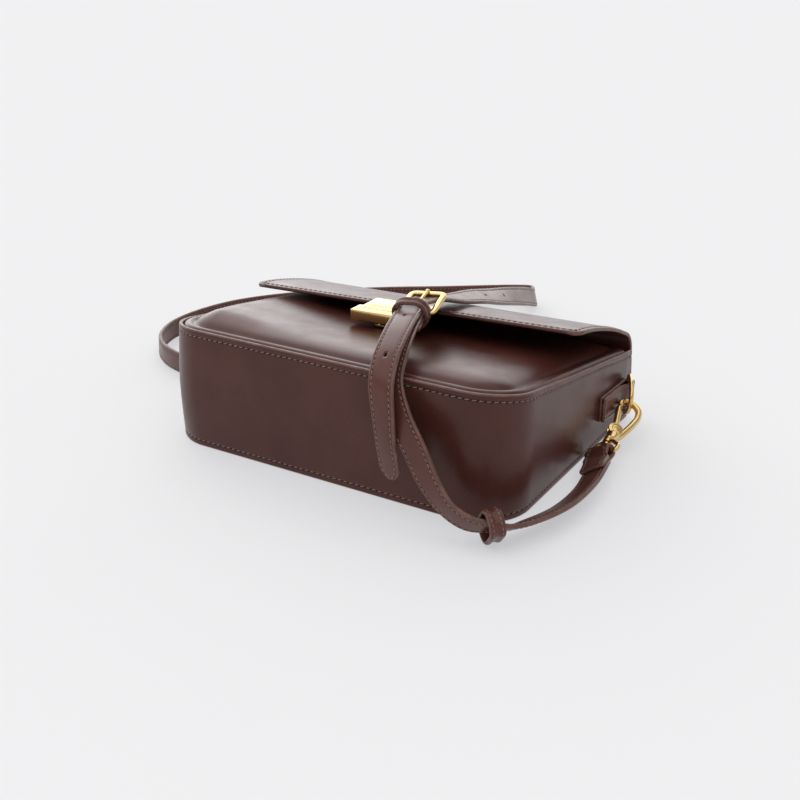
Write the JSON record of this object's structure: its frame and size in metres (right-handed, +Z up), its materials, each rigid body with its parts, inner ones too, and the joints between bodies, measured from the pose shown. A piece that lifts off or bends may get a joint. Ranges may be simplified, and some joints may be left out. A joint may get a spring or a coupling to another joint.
{
  "type": "box bag",
  "caption": "Leather box bag lying on its back, its flap closed by a metal clasp, with a buckled strap on sprung snap hooks and D rings.",
  "frame": {"origin": "middle of the back panel's outer face, on the ground the bag lies on", "axes": "+X across the bag, +Y from its bottom to its top, +Z up through its front"},
  "size_m": [0.3554, 0.3586, 0.0924],
  "materials": {
    "leather": "smooth glossy dark brown leather with lighter painted edges",
    "brass": "polished gold-coloured metal"
  },
  "bodies": {
    "bag": {"gusset": "leather", "front_panel": "leather", "back_panel": "leather", "flap": "leather", "side_tab_right": "leather", "side_tab_left": "leather", "short_strap": "leather", "long_strap": "leather", "buckle_keeper": "leather", "slide_keeper": "leather", "clasp_plate": "brass", "clasp_catch": "brass", "ring_right": "brass", "ring_left": "brass", "snap_hook_right": "brass", "snap_hook_left": "brass", "swivel_eye_right": "brass", "swivel_eye_left": "brass", "buckle_frame": "brass", "buckle_prong": "brass"},
    "gate_right": {"gate_right": "brass"},
    "gate_left": {"gate_left": "brass"}
  },
  "joints": [
    {"name": "gate_right_swing", "type": "hinge", "parent": "bag", "child": "gate_right", "pos_m": [0.12101, 0.03201, 0.01313], "axis": [-0.4068, 0.2488, -0.879], "range_deg": [0, 20], "stiffness_Nm_per_rad": 0.01, "springref_deg": -20.05},
    {"name": "gate_left_swing", "type": "hinge", "parent": "bag", "child": "gate_left", "pos_m": [-0.12101, 0.03201, 0.01313], "axis": [-0.4068, -0.2488, 0.879], "range_deg": [0, 20], "stiffness_Nm_per_rad": 0.01, "springref_deg": -20.05}
  ]
}
